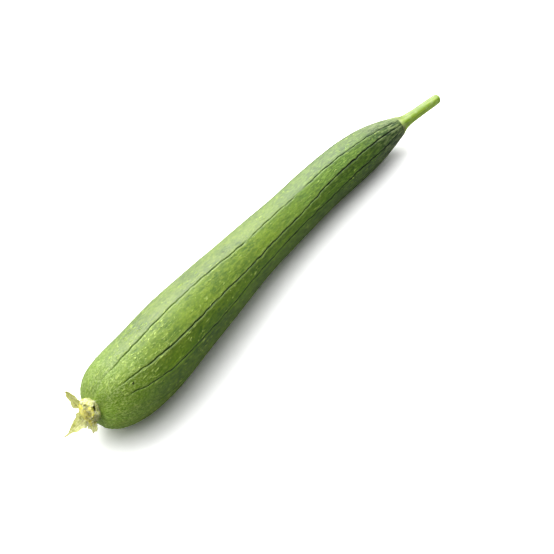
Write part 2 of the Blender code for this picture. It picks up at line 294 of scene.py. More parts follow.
# %% [markdown]
# ## Closed tubes
# Every piece here is round or flat along a line, so one helper is enough: rings of points, joined to their
# neighbours by four-sided faces, and a fan of triangles to one point at each end. A sepal is such a tube too,
# pressed flat. The mesh can keep values at its points, which materials and geometry trees read later.

# %% Helpers for closed tubes
def stacked(*parts):
    """Vectors from their parts, which may change from ring to ring, round the ring, or not at all."""
    return np.stack(np.broadcast_arrays(*parts), axis=-1)

def polar(angle, out, forward):
    """Points round an axis: which way, how far out and how far along it."""
    return stacked(out * np.cos(angle), out * np.sin(angle), forward)

def tube(name, rings, first, last, attributes):
    """A closed mesh through rings of points, with a pole at each end and values kept at its points."""
    count, columns = rings.shape[:2]
    points = np.concatenate([rings.reshape(-1, 3), [first, last]])
    column = np.arange(columns)
    following = (column + 1) % columns
    faces = []
    for row in range(count - 1):
        low, high = row * columns, (row + 1) * columns
        faces += np.stack([low + column, low + following, high + following, high + column], axis=1).tolist()
    one, two, three, four = np.moveaxis(points[np.array(faces)], 1, 0)
    top, pole = (count - 1) * columns, count * columns
    faces += np.stack([following, column, np.full(columns, pole)], axis=1).tolist()
    faces += np.stack([top + column, top + following, np.full(columns, pole + 1)], axis=1).tolist()
    mesh = bpy.data.meshes.new(name)
    mesh.from_pydata(points.tolist(), [], faces)
    if np.sum(one * (np.cross(two, three) + np.cross(three, four))) < 0:
        mesh.flip_normals()
    for title, values in attributes.items():
        values = np.asarray(values, np.float32).reshape(count * columns, -1)
        values = np.concatenate([values, values[[0, top]]])
        kind, field = ("FLOAT_VECTOR", "vector") if values.shape[1] == 3 else ("FLOAT", "value")
        mesh.attributes.new(title, kind, "POINT").data.foreach_set(field, values.ravel())
    mesh.shade_smooth()
    return mesh

print("tube helpers ready")

# %% [markdown]
# ## Lines
# Ten dark lines run the length of a smooth sponge gourd, over the bundles of fibre below its skin. Each
# starts a little way from the flower, drifts round the fruit as it goes, and is never quite even: it wanders,
# it thins and thickens, and here and there it breaks off. A direction at four stations and a few waves of
# different length say all that. The waves start at random places from a fixed seed.

# %% The ten lines
LINE_STATIONS = np.array([20, 60, 180, 300]) * MM
LINES = np.radians([  # the direction of each line at the four stations
    (18, 12, 10, 12), (65, 57, 50, 50), (88, 85, 94, 97), (116, 126, 133, 125), (137, 150, 159, 152),
    (170, 184, 191, 185), (214, 220, 221, 216), (252, 254, 252, 250), (288, 288, 288, 288),
    (322, 325, 328, 330),
])
LINE_INK = (0.6, 0.35, 0.55, 0.92, 0.8, 0.55, 0.7, 0.85, 0.6, 0.7)  # how dark and wide each line is
LINE_START = (0.06, 0.1, 0.025, 0.035, 0.035, 0.06, 0.05, 0.07, 0.05, 0.06)  # the share where it begins
LINE_BREAKS = (  # line, share, half length
    (2, 0.478, 0.02), (2, 0.66, 0.03), (6, 0.33, 0.02), (8, 0.62, 0.02),
)
LINE_FADE, LEAST_FADE_AT_STALK = 0.03, 0.3
LINE_WANDER, LEAST_RADIUS = 0.7 * MM, 12 * MM
WANDER_WAVES = ((0.34, 17), (0.26, 31), (0.16, 53))  # size, turns along the fruit
INK_WAVES = ((0.16, 3.3), (0.14, 9.1), (0.12, 23.0))  # size, turns along the fruit
SKIN_RINGS = 372

random = np.random.default_rng(21)
line_phases = random.uniform(0, tau, (len(LINES), 2))
swell_phases = random.uniform(0, tau, 4)
ink_phases = np.random.default_rng(4).uniform(0, tau, (len(LINES), 3))

distance, radius = outline(FRUIT_SIDE, np.linspace(0, 1, SKIN_RINGS)).T
share = distance / FRUIT_LENGTH

def line_angle(number):
    """Direction of a dark line at every ring: it drifts round the fruit and wanders a little on its way."""
    turn, number = divmod(number, len(LINES))
    first, second = line_phases[number]
    near = np.clip(distance, LINE_STATIONS[0], LINE_STATIONS[-1])
    wander = np.sin(tau * 1.6 * share + first) + 0.4 * np.sin(tau * 5 * share + second)
    for size, turns in WANDER_WAVES:
        wave = np.sin(tau * turns * share + turns * first)
        wander += size * wave * np.sin(tau * 2.7 * share + turns * second)
    drift = smooth(LINE_STATIONS, LINES[number], near) + tau * turn
    return drift + wander * LINE_WANDER / np.maximum(radius, LEAST_RADIUS)

def line_ink(number):
    """How much of a dark line there is at every ring: it fades in, thins and thickens, and may break off."""
    number %= len(LINES)
    ink = LINE_INK[number] * np.clip((share - LINE_START[number]) / LINE_FADE, 0, 1)
    ink *= np.clip((1 - share) / LINE_FADE, LEAST_FADE_AT_STALK, 1)
    for phase, (size, turns) in zip(ink_phases[number], INK_WAVES):
        ink *= 1 + size * np.sin(tau * turns * share + phase)
    for broken, where, half in LINE_BREAKS:
        if broken == number:
            ink *= np.clip(np.abs(share - where) / half, 0, 1) ** 2
    return ink

print("lines:", len(LINES), "mean ink of the first:", round(float(line_ink(0).mean()), 2))

# %% [markdown]
# ## The skin's mesh
# Between two lines the skin is nearly flat. The columns of the mesh follow the lines and crowd together
# beside them, so a groove half a millimetre wide stays sharp without a heavy mesh. Each point also keeps how
# far it is from its line, how dark that line is there, how much painted shade its facet gets for the way it
# faces the lamps, and its place on the skin as if that were wrapped round an even tube, for the material to
# read.

# %% Skin mesh
FACET_COLUMNS, CROWDING = 26, 0.8
# Painted shade: each facet is made a little lighter or darker for the way it faces the lamps.
FACET_PAINTED_SHADE = (0.86, 0.76, 0.98, 0.84, 0.84, 0.95, 1.0, 0.9, 1.0, 0.92)  # lightness after each line
FACET_FLATNESS = ((0, 0.08, 0.3, 0.6, 0.9, 1), (0, 0.08, 0.25, 0.4, 0.45, 0.2))  # at shares of the length
SWELL = 0.004
WRAP_RADIUS = 25 * MM

flatness = smooth(*FACET_FLATNESS, share)[:, None]
middle, along, across, up = section(distance)
travel = np.concatenate([[0], np.cumsum(np.hypot(np.diff(distance), np.diff(radius)))])
step = np.arange(FACET_COLUMNS) / FACET_COLUMNS
step = step - CROWDING * np.sin(tau * step) / tau
facets = []
for number in range(len(LINES)):
    start, end = line_angle(number)[:, None], line_angle(number + 1)[:, None]
    angle = start + step * (end - start)
    half = (end - start) / 2
    chord = np.cos(half) / np.cos(angle - start - half)
    facets.append((
        angle,
        radius[:, None] * (1 - flatness * (1 - chord)),
        np.minimum(angle - start, end - angle) * radius[:, None],
        np.where(step < 0.5, line_ink(number)[:, None], line_ink(number + 1)[:, None]),
        FACET_PAINTED_SHADE[number] + 0 * angle,
    ))
angle, reach, from_line, ink, tone = (np.concatenate(columns, axis=1) for columns in zip(*facets))

ring_share = share[:, None]
for order, phase in enumerate(swell_phases):
    wave = np.sin(tau * (order + 1.3) * ring_share + (order % 3 + 1) * angle + phase)
    reach = reach * (1 + SWELL * np.sin(pi * ring_share) * wave)
rings = middle[:, None] + across[:, None] * (reach * np.cos(angle))[..., None]
rings = rings + up[:, None] * (reach * np.sin(angle))[..., None]
skin = show("gourd_skin_fine", tube("gourd_skin_fine", rings, middle[0], middle[-1], {
    "from_line": from_line,
    "line_ink": ink,
    "facet_painted_shade": tone,
    "along": ring_share + 0 * angle,
    "skin_place": polar(angle, WRAP_RADIUS, travel[:, None]),
    "way": unit(np.gradient(rings, axis=0)),
}))
print("skin:", len(skin.data.polygons), "faces; blossom end at x =", round(middle[0][0] / MM, 1), "mm")

# %% [markdown]
# ## Relief of the skin
# The skin sinks along each line, between two soft lips, and it is never quite even. Both follow the surface,
# so they are a Geometry Nodes tree that moves each point along its normal: its sizes are named inputs that
# can be tried out one by one. The lowest points are held on the surface that the gourd lies on.

# %% Geometry tree for the relief
SOCKETS = {float: "Float", int: "Int", tuple: "Vector"}

def new_tree(name, inputs, outputs=("Geometry",), kind="GeometryNodeTree"):
    """A node tree with named sockets. An input is given by its value, or else by its type."""
    tree = bpy.data.node_groups.new(name, kind)
    for title, value in inputs.items():
        socket = SOCKETS.get(type(value), value)
        made = tree.interface.new_socket(name=title, in_out="INPUT", socket_type=f"NodeSocket{socket}")
        if socket != value:
            made.default_value = value
    for title in outputs:
        socket = "NodeSocketGeometry" if title == "Geometry" else "NodeSocketFloat"
        tree.interface.new_socket(name=title, in_out="OUTPUT", socket_type=socket)
    return tree

def run_tree(piece, tree, **values):
    """Runs a tree on a piece and keeps the result as its plain mesh."""
    modifier = piece.modifiers.new(tree.name, "NODES")
    modifier.node_group = tree
    for item in tree.interface.items_tree:
        if item.in_out == "INPUT" and item.name in values:
            modifier[item.identifier] = values[item.name]
    result = bpy.data.meshes.new_from_object(piece.evaluated_get(bpy.context.evaluated_depsgraph_get()))
    piece.modifiers.remove(modifier)
    piece.data = result

def named(tree, name, kind="FLOAT"):
    """Reads a value that the mesh keeps at its points."""
    return add(tree, "GeometryNodeInputNamedAttribute", {"Name": name}, data_type=kind).outputs["Attribute"]

def position(tree):
    """The place of each point."""
    return add(tree, "GeometryNodeInputPosition").outputs[0]

def bell(tree, value, width):
    """One at zero, falling off smoothly over a width."""
    squared = maths(tree, "POWER", maths(tree, "DIVIDE", value, width), 2.0)
    return maths(tree, "EXPONENT", product(tree, squared, -1.0))

relief = new_tree("skin_relief", {
    "Geometry": "Geometry",
    "Groove depth": 0.8 * MM,
    "Groove width": 0.42 * MM,
    "Lip height": 0.16 * MM,
    "Lip distance": 1.5 * MM,
    "Unevenness": 0.55 * MM,
})
given = add(relief, "NodeGroupInput").outputs
line_distance = named(relief, "from_line")
groove = product(relief, bell(relief, line_distance, given["Groove width"]), given["Groove depth"])
from_lip = maths(relief, "SUBTRACT", line_distance, given["Lip distance"])
lip = bell(relief, from_lip, product(relief, given["Lip distance"], 0.5))
carved = maths(relief, "SUBTRACT", product(relief, lip, given["Lip height"]), groove)
carved = product(relief, carved, named(relief, "line_ink"))
long_place = vectors(relief, "MULTIPLY", named(relief, "skin_place", "FLOAT_VECTOR"), (1, 1, 0.35))
uneven = maths(relief, "SUBTRACT", noise(relief, long_place, 75.0, 2.0), 0.5)
height = total(relief, carved, product(relief, uneven, given["Unevenness"]))
offset = vectors(relief, "MULTIPLY", add(relief, "GeometryNodeInputNormal").outputs[0], height)
moved = add(relief, "GeometryNodeSetPosition", {"Geometry": given["Geometry"], "Offset": offset}).outputs[0]
spot = split(relief, position(relief))
above = maths(relief, "MAXIMUM", spot[2], 0.0)
held = add(relief, "ShaderNodeCombineXYZ", {0: spot[0], 1: spot[1], 2: above}).outputs[0]
rested = add(relief, "GeometryNodeSetPosition", {"Geometry": moved, "Position": held}).outputs[0]
add(relief, "NodeGroupOutput", {"Geometry": rested})
run_tree(skin, relief)
print("skin box:", [round(value / MM, 1) for value in skin.dimensions])

# %% [markdown]
# ## Grain shared by all the plant's surfaces
# Skin, stalk and dried flower all have a fine grain that is drawn out the way the plant grew. It is one
# shader group with named inputs: a tone for the colour and a height for the bump.

# %% Shader group for the grain
grain = new_tree("plant_grain", {
    "Place": "Vector",
    "Scale": 300.0,
    "Draw out": 0.2,
}, ("Tone", "Height"), "ShaderNodeTree")
given = add(grain, "NodeGroupInput").outputs
drawn = add(grain, "ShaderNodeCombineXYZ", {0: 1.0, 1: 1.0, 2: given["Draw out"]}).outputs[0]
broad = noise(grain, vectors(grain, "MULTIPLY", given["Place"], drawn), given["Scale"], 4.0, 0.6)
pores = noise(grain, given["Place"], product(grain, given["Scale"], 4.0), 2.0)
add(grain, "NodeGroupOutput", {
    "Tone": eased(grain, broad, 0.35, 0.65),
    "Height": total(grain, product(grain, broad, 0.7), product(grain, pores, 0.3)),
})

def grained(tree, place, scale, draw_out):
    """Puts the shared grain in a material: its tone and its height."""
    inputs = {"Place": place, "Scale": scale, "Draw out": draw_out}
    made = add(tree, "ShaderNodeGroup", inputs, node_tree=grain)
    return made.outputs["Tone"], made.outputs["Height"]

print("shader groups:", [tree.name for tree in bpy.data.node_groups if tree.type == "SHADER"])

# %% [markdown]
# ## Skin colour
# The skin is a yellow green, but nowhere one plain green: patches a finger wide, mottling, fine wrinkles and
# pores all change it. Each is a noise of its own size, worked out from the place on the skin and drawn out
# the way the fruit grew. The layers are laid one over another, from broad to fine.

# %% Skin material: the green
PATTERNS = (  # size across as a share of size along, then scale, detail, roughness and distortion
    (0.6, 75.0, 3.0, 0.6, 0.0),  # patches
    (0.5, 280.0, 4.0, 0.66, 0.0),  # mottling
    (0.4, 620.0, 2.0, 0.6, 0.6),  # wrinkles
    (0.25, 900.0, 3.0, 0.6, 0.5),  # short streaks on the neck
    (0.55, 1150.0, 2.0, 0.5, 0.8),  # rays round the flower
    (0.08, 260.0, 1.0, 0.5, 0.0),  # teeth of the pale ring by the stalk
)

def kept(tree, name, output="Fac"):
    """Reads, in a material, a value that the mesh keeps at its points."""
    return add(tree, "ShaderNodeAttribute", attribute_name=name).outputs[output]

def painted(tree, base, *layers):
    """Lays layers over a base, one after another. Each has an amount, a colour and perhaps a mode."""
    for amount, *over in layers:
        base = tint(tree, amount, base, *over)
    return base

gourd_skin, tree, shader = new_material("gourd_skin_waxy", {"Specular IOR Level": 0.42})
place = kept(tree, "skin_place", "Vector")
length_share = kept(tree, "along")
to_line = maths(tree, "DIVIDE", kept(tree, "from_line"), MM)
line_dark = kept(tree, "line_ink")
patches, mottle, wrinkles, dashes, rays, teeth = (
    noise(tree, vectors(tree, "MULTIPLY", place, (1, 1, lengthwise)), *sizes)
    for lengthwise, *sizes in PATTERNS
)
streaks, streak_height = grained(tree, place, 850.0, 0.13)
pores, pore_height = grained(tree, place, 1500.0, 0.5)
lip = product(tree, eased(tree, to_line, 0.6, 1.0), eased(tree, to_line, 2.0, 1.2), line_dark)

base = painted(
    tree, tint(tree, eased(tree, patches, 0.38, 0.62), "4E7410", "7C9C1C"),
    (eased(tree, mottle, 0.5, 0.66, 0, 0.5), "94AC3C"),
    (eased(tree, mottle, 0.48, 0.34, 0, 0.5), "466406"),
    (eased(tree, wrinkles, 0.52, 0.62, 0, 0.45), "AABE58"),
    (eased(tree, wrinkles, 0.46, 0.36, 0, 0.45), "48660A"),
    (product(tree, streaks, 0.45), "98B03E"),
    (product(tree, pores, 0.4), "486608"),
    (product(tree, eased(tree, to_line, 2.2, 0.3), line_dark, 0.5), "38580C"),
    # the lips beside each line: raised in the mesh, and painted pale as a painted highlight
    (product(tree, lip, eased(tree, mottle, 0.4, 0.6, 0.2, 0.6)), "B4CA7C"),
)
print("nodes for the green:", len(tree.nodes))

# %% [markdown]
# ## The ends and the sides
# The skin turns blue green on the shoulder by the stalk, inside a frayed pale ring, and greyish with pale
# rays round the flower. The neck is darker than the belly and finely streaked. Light and shade are painted in
# too: the side that the light leaves out is painted yellower and a deeper green, with painted light at the
# blossom end; the neck and the shoulder are painted darker on that side, the pale ring shows only on the lit
# side, and each facet is painted lighter or darker for the way it faces the lamps. Last comes the bloom: a
# thin layer of wax, painted as a pale grey sheen on the lit side.

# %% Skin material: the ends, the sides and painted shade
sides = split(tree, place)
# How far a place faces the lamps, and how far it is turned from them: masks for painted light and shade.
lit_side = eased(tree, sides[0], -8 * MM, 15 * MM, 0.15, 0.85)
shaded = sloped(tree, lit_side, 1.0, -1.0)
lit = total(tree, product(tree, sides[0], 0.85), product(tree, sides[1], 0.5))
# The side turned away from the lamps: it gets painted shade, and painted light at the blossom end.
away_from_lamps = eased(tree, lit, -1 * MM, -15 * MM)

neck = eased(tree, length_share, 0.45, 0.8)
ragged = total(tree, length_share, product(tree, streaks, 0.06))
shoulder = product(tree, eased(tree, ragged, 0.84, 0.98), eased(tree, mottle, 0.6, 0.42, 0.35, 0.95))
# Painted shade: the shoulder's dark is weaker on the side facing the lamps.
shoulder = product(tree, shoulder, sloped(tree, lit_side, 1.0, -0.8))
jagged = total(tree, length_share, product(tree, teeth, 0.06))
flower_end = eased(tree, total(tree, length_share, product(tree, patches, 0.12)), 0.22, 0.06)

base = painted(
    tree, base,
    # painted shade: the side the light leaves out is made yellower
    (product(tree, shaded, 0.8), "F2F8AC", "MULTIPLY"),
    # painted shade: a deeper green on the side away from the lamps
    (away_from_lamps, (0.92, 1.12, 0.5, 1), "MULTIPLY"),
    # a darker neck, with painted shade: darker still on the side the light leaves out
    (product(tree, neck, sloped(tree, shaded, 0.3, 0.35)), "4A7412"),
    (product(tree, neck, eased(tree, dashes, 0.5, 0.36, 0, 0.7)), "2C4A08"),
    (product(tree, neck, eased(tree, dashes, 0.52, 0.64, 0, 0.6)), "96BA4C"),
    # the blue green shoulder, with painted shade: darker on the side away from the light
    (shoulder, "22420F"),
    (product(tree, eased(tree, ragged, 0.9, 1.0), eased(tree, mottle, 0.46, 0.56, 0, 0.8)), "92A46A"),
    # the pale ring at the stalk's foot, shown only on the lit side: partly painted light
    (product(tree, eased(tree, jagged, 1.004, 1.02), lit_side), "9FB665"),
    (product(tree, flower_end, 0.6), "88AC2E"),
    (product(tree, eased(tree, rays, 0.51, 0.6, 0, 0.95), flower_end), "B6CE78"),
    (product(tree, eased(tree, rays, 0.46, 0.38, 0, 0.6), flower_end), "547418"),
    # painted shade: each facet lighter or darker for the way it faces the lamps
    (1.0, kept(tree, "facet_painted_shade"), "MULTIPLY"),
    # painted light: the blossom end made lighter on the side away from the lamps, as if lit from the floor
    (product(tree, flower_end, away_from_lamps), (1.35, 1.4, 1.1, 1), "MULTIPLY"),
    (eased(tree, length_share, 0.55, 0.3), "F6F6F6", "MULTIPLY"),
    # painted sheen: a pale grey on the lit side, for the waxy bloom as it catches the light
    (product(tree, lit_side, sloped(tree, flower_end, 0.11, -0.09)), "CCD2C2"),
)
print("nodes with the ends and the sides:", len(tree.nodes))

# %% [markdown]
# ## Lines and marks
# The dark lines are laid over all the rest, a little blurred at their edges and darker towards the stalk.
# They read the distance that the mesh keeps, so they lie in the grooves. The four dark marks are scrapes that
# a fruit gets on the vine: each is a long ellipse round two points, with a frayed edge. The height for the
# bump and the roughness come from the same noises as the colour, so a wrinkle is seen and catches the light
# in one place.

# %% Skin material: the lines and the marks
MARKS = (  # both ends in mm, how much longer than straight the way by its edge is in mm, how dark
    ((-163.8, -15.1, 49.3), (-163.2, -15.4, 49.2), 1.3, 0.9),
    ((-40.1, 9.9, 46.9), (-39.0, 9.6, 46.9), 1.0, 0.45),
    ((-12.3, -1.6, 42.2), (-11.2, -7.1, 39.1), 0.05, 0.75),
    ((-9.9, -2.2, 42.4), (-9.2, -5.6, 40.6), 0.03, 0.55),
)
BUMP_DISTANCE = 0.3 * MM

def object_place(tree):
    """The place of a shaded point, in metres from the object's origin."""
    return add(tree, "ShaderNodeTexCoord").outputs["Object"]

def surface(tree, shader, base, height, strength):
    """Gives a shader its colour, and a bump from a height."""
    tree.links.new(base, shader.inputs["Base Color"])
    bump = add(tree, "ShaderNodeBump", {"Strength": strength, "Distance": BUMP_DISTANCE, "Height": height})
    tree.links.new(bump.outputs[0], shader.inputs["Normal"])

line_width = product(tree, sloped(tree, line_dark, 0.1, 0.3), sloped(tree, neck, 0.85, 0.75))
line_width = product(tree, line_width, eased(tree, noise(tree, place, 260.0, 2.0), 0.2, 0.8, 0.7, 1.3))
line_mask = eased(tree, maths(tree, "DIVIDE", to_line, line_width), 0.45, 1.15, 1, 0)
line_mask = product(tree, line_mask, eased(tree, total(tree, line_dark, product(tree, neck, 0.3)), 0.02, 0.7))
base = tint(tree, line_mask, base, tint(tree, eased(tree, length_share, 0.12, 0.45), "24460A", "0E2401"))

at = object_place(tree)
frayed = noise(tree, at, 900.0, 2.0)
for first, second, excess, dark in MARKS:
    ways = [vectors(tree, "DISTANCE", at, Vector(end) * MM) for end in (first, second)]
    straight = (Vector(first) - Vector(second)).length * MM
    beyond = maths(tree, "SUBTRACT", total(tree, *ways), straight)
    beyond = total(tree, maths(tree, "DIVIDE", beyond, excess * MM), frayed)
    base = tint(tree, eased(tree, beyond, 1.9, 1.1, 0, dark), base, "1C250B")

rough = total(tree, sloped(tree, mottle, 0.32, 0.16), product(tree, line_mask, 0.45))
tree.links.new(rough, shader.inputs["Roughness"])
height = total(tree, product(tree, streak_height, 0.6), product(tree, pore_height, 0.4))
height = total(tree, height, product(tree, wrinkles, 1.2))
surface(tree, shader, base, height, 0.6)
skin.data.materials.append(gourd_skin)
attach(skin, "root")
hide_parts("fruit_body")
print("skin material nodes:", len(tree.nodes))

# %% [markdown]
# ## Raised flecks
# The skin carries short pale ridges, most of them near the flower and few on the neck, nearly all drawn out
# along the fruit. They repeat over a surface, so a tree scatters them: one low dome, placed at random points,
# turned along the fruit, sunk into the skin and bent a little by a noise, so that no two are alike.

# %% Geometry tree for the flecks
FLECK_WOBBLE = 0.35

fleck_pale, tree, shader = new_material("fleck_pale", {"Roughness": 0.45})
flecked = eased(tree, noise(tree, object_place(tree), 240.0, 2.0), 0.35, 0.65)
tree.links.new(tint(tree, flecked, "8AAA38", "BAD268"), shader.inputs["Base Color"])

def random_vector(tree, least, most, seed):
    """A random vector for each point, between two others."""
    limits = {0: least, 1: most, "Seed": seed}
    return add(tree, "FunctionNodeRandomValue", limits, data_type="FLOAT_VECTOR").outputs[0]

def push(tree, place, scale, detail, size):
    """A cloudy vector that points any way, mostly less than half a size long."""
    sizes = {"Vector": place, "Scale": scale, "Detail": detail}
    waves = add(tree, "ShaderNodeTexNoise", sizes).outputs["Color"]
    return vectors(tree, "MULTIPLY", vectors(tree, "SUBTRACT", waves, (0.5, 0.5, 0.5)), size)

scatter = new_tree("pale_flecks", {
    "Geometry": "Geometry",
    "Per square metre": 120000.0,
    "Smallest": (0.4 * MM, 0.12 * MM, 0.03 * MM),
    "Largest": (2.6 * MM, 0.4 * MM, 0.09 * MM),
    "Bend": 1.1 * MM,
    "Material": "Material",
    "Seed": 5,
})
given = add(scatter, "NodeGroupInput").outputs
how_far = named(scatter, "along")
by_flower = eased(scatter, how_far, 0.03, 0.3, 1.3, 0.08)
by_stalk = eased(scatter, how_far, 0.3, 0.9, 0.1, 0.02)
clusters = noise(scatter, named(scatter, "skin_place", "FLOAT_VECTOR"), 70.0, 2.0)
density = product(
    scatter,
    total(scatter, by_flower, by_stalk),
    eased(scatter, clusters, 0.42, 0.64, 0.15, 2.2),
    eased(scatter, named(scatter, "from_line"), 0.4 * MM, 1.6 * MM),
    eased(scatter, split(scatter, position(scatter))[2], 1 * MM, 3 * MM),
    given["Per square metre"],
)
scattered = add(scatter, "GeometryNodeDistributePointsOnFaces", {
    "Mesh": given["Geometry"], "Density": density, "Seed": given["Seed"],
}).outputs
wobble = random_vector(scatter, (-FLECK_WOBBLE,) * 3, (FLECK_WOBBLE,) * 3, given["Seed"])
heading = vectors(scatter, "ADD", named(scatter, "way", "FLOAT_VECTOR"), wobble)
turned = add(scatter, "FunctionNodeAlignRotationToVector", {
    "Rotation": scattered["Rotation"], "Vector": heading,
}, axis="X", pivot_axis="Z").outputs[0]
size = random_vector(scatter, given["Smallest"], given["Largest"], given["Seed"])
dome = add(scatter, "GeometryNodeMeshUVSphere", {"Segments": 8, "Rings": 5, "Radius": 1.0}).outputs["Mesh"]
dome = add(scatter, "GeometryNodeSetShadeSmooth", {0: dome}).outputs[0]
placed = add(scatter, "GeometryNodeInstanceOnPoints", {
    "Points": scattered["Points"], "Instance": dome, "Rotation": turned, "Scale": size,
}).outputs[0]
real = add(scatter, "GeometryNodeRealizeInstances", {0: placed}).outputs[0]
bends = push(scatter, position(scatter), 700.0, 2.0, given["Bend"])
real = add(scatter, "GeometryNodeSetPosition", {"Geometry": real, "Offset": bends}).outputs[0]
coloured = {"Geometry": real, "Material": given["Material"]}
coloured = add(scatter, "GeometryNodeSetMaterial", coloured).outputs[0]
add(scatter, "NodeGroupOutput", {"Geometry": coloured})

flecks = show("skin_flecks", skin.data.copy())
run_tree(flecks, scatter, Material=fleck_pale)
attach(flecks, "root")
print("flecks:", len(flecks.data.polygons), "faces")

# %% [markdown]
# ## Stalk
# The stalk of a gourd has five low angles and a flared foot where it parts from the fruit. It bends a little,
# and its cut end has a softer, sunken middle. A tube does for it too, with waves round its section that are
# highest at the foot.

# %% Stalk mesh
STEM_LENGTH = 46.5 * MM
STEM_SIDE = np.array([  # distance from the foot, radius
    (0, 7.8), (2, 7.3), (5, 6.1), (10, 5.1), (22, 4.4), (36, 4.2), (44.9, 3.9), (46.1, 3.4), (46.5, 2.6),
]) * MM
STEM_BEND = np.array([-2, -1, 0]) * MM
STEM_ANGLES, STEM_ANGLE_HEIGHT, FOOT_ANGLE_HEIGHT = 5, 0.03, 0.07
STEM_RINGS, STEM_COLUMNS = 150, 90
STEM_WRAP_RADIUS = 5 * MM
PITH_DEPTH = 0.7 * MM

def frame_at(distance, signs):
    """A place on the fruit's middle line, and the ways up, across and along there, each with a sign."""
    middle, along, across, up = (item[0] for item in section(distance))
    return middle, np.array([up, across, along]) * np.array(signs)[:, None]

stem_middle, stem_axes = frame_at(FRUIT_LENGTH, (-1, 1, 1))
stem_distance, stem_radius = outline(STEM_SIDE, np.linspace(0, 1, STEM_RINGS)).T[..., None]
angle = np.linspace(0, tau, STEM_COLUMNS, endpoint=False)[None]
stem_share = stem_distance / STEM_LENGTH
lobes = STEM_ANGLE_HEIGHT + FOOT_ANGLE_HEIGHT * np.clip(1 - stem_share * 6, 0, 1)
fine = 0.012 * np.sin(25 * angle + 3 * stem_share) + 0.008 * np.sin(41 * angle - 5 * stem_share)
reach = stem_radius * (1 + lobes * np.cos(STEM_ANGLES * angle) + fine)
local = polar(angle, reach, stem_distance) + STEM_BEND * (stem_share ** 1.5)[..., None]
rings = stem_middle + local @ stem_axes
pith = stem_middle + (STEM_BEND + (0, 0, STEM_LENGTH - PITH_DEPTH)) @ stem_axes
stem = show("stem_fine", tube("stem_fine", rings, stem_middle, pith, {
    "stem_share": stem_share + 0 * angle,
    "stem_place": polar(angle, STEM_WRAP_RADIUS, stem_distance),
}))
print("stalk:", len(stem.data.polygons), "faces")

# %% [markdown]
# ## Stalk colour
# The stalk is a bright yellow green, with fine fibres along it, a pale ring at the foot, fresh green at the
# cut and one brown bruise near the foot. Light passes through a stalk, so the side away from the lamps is not
# dark: here that is painted into its colour, as painted light on the side away from the lamps and painted
# shade on the lit side.

# %% Stalk material
BRUISE = Vector((165.5, -10.0, 19.5)) * MM

stem_green, tree, shader = new_material("stem_green_fibre", {
    "Roughness": 0.4,
    "Specular IOR Level": 1.0,
    "Subsurface Weight": 0.15,
    "Subsurface Radius": (0.7, 1, 0.15),
    "Subsurface Scale": 2.5 * MM,
})
place = kept(tree, "stem_place", "Vector")
where = kept(tree, "stem_share")
fibres, fibre_height = grained(tree, place, 900.0, 0.06)
clouds = noise(tree, place, 160.0, 2.0)
foot_ring = eased(tree, total(tree, where, product(tree, clouds, 0.2)), 0.2, 0.1)
sides = split(tree, place)
lit = maths(tree, "SUBTRACT", product(tree, sides[1], 0.85), product(tree, sides[0], 0.5))
bruise = total(tree, vectors(tree, "DISTANCE", object_place(tree), BRUISE), product(tree, clouds, 3 * MM))
base = painted(
    tree, tint(tree, fibres, "7CA40C", "A6C23E"),
    (eased(tree, clouds, 0.5, 0.72, 0, 0.6), "B2CA80"),
    (eased(tree, clouds, 0.46, 0.3, 0, 0.4), "5C7C1C"),
    (product(tree, foot_ring, 0.75), "A9BC62"),
    (eased(tree, where, 0.9, 0.98, 0, 0.75), "84AA14"),
    # painted shade on the side facing the lamps, then painted light on the side away from them
    (eased(tree, lit, -1 * MM, 4 * MM), (0.8, 0.74, 1, 1), "MULTIPLY"),
    (eased(tree, lit, 1 * MM, -4.5 * MM), (1.5, 1.55, 1.2, 1), "MULTIPLY"),
    (eased(tree, bruise, 5.2 * MM, 3.4 * MM, 0, 0.7), "6A5A1C"),
)
surface(tree, shader, base, fibre_height, 0.4)
stem.data.materials.append(stem_green)
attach(stem, "root")
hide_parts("stem")
print("stalk material nodes:", len(tree.nodes))

# %% [markdown]
# ## Blades
# Sepals and petals are thin leaves along a bent line. A blade is a tube pressed flat: its section is cupped,
# its edge is waved and torn a little, and three veins stand out and run together at the tip. Each point keeps
# how far across and how far along its leaf it is, for the material.

# %% Helpers for blades
VEINS, VEIN_WIDTH, VEIN_HEIGHT = (-0.55, 0, 0.55), 0.07, 0.5
BLADE_COLUMNS = 48

flower_middle, flower_axes = frame_at(0, (1, 1, -1))

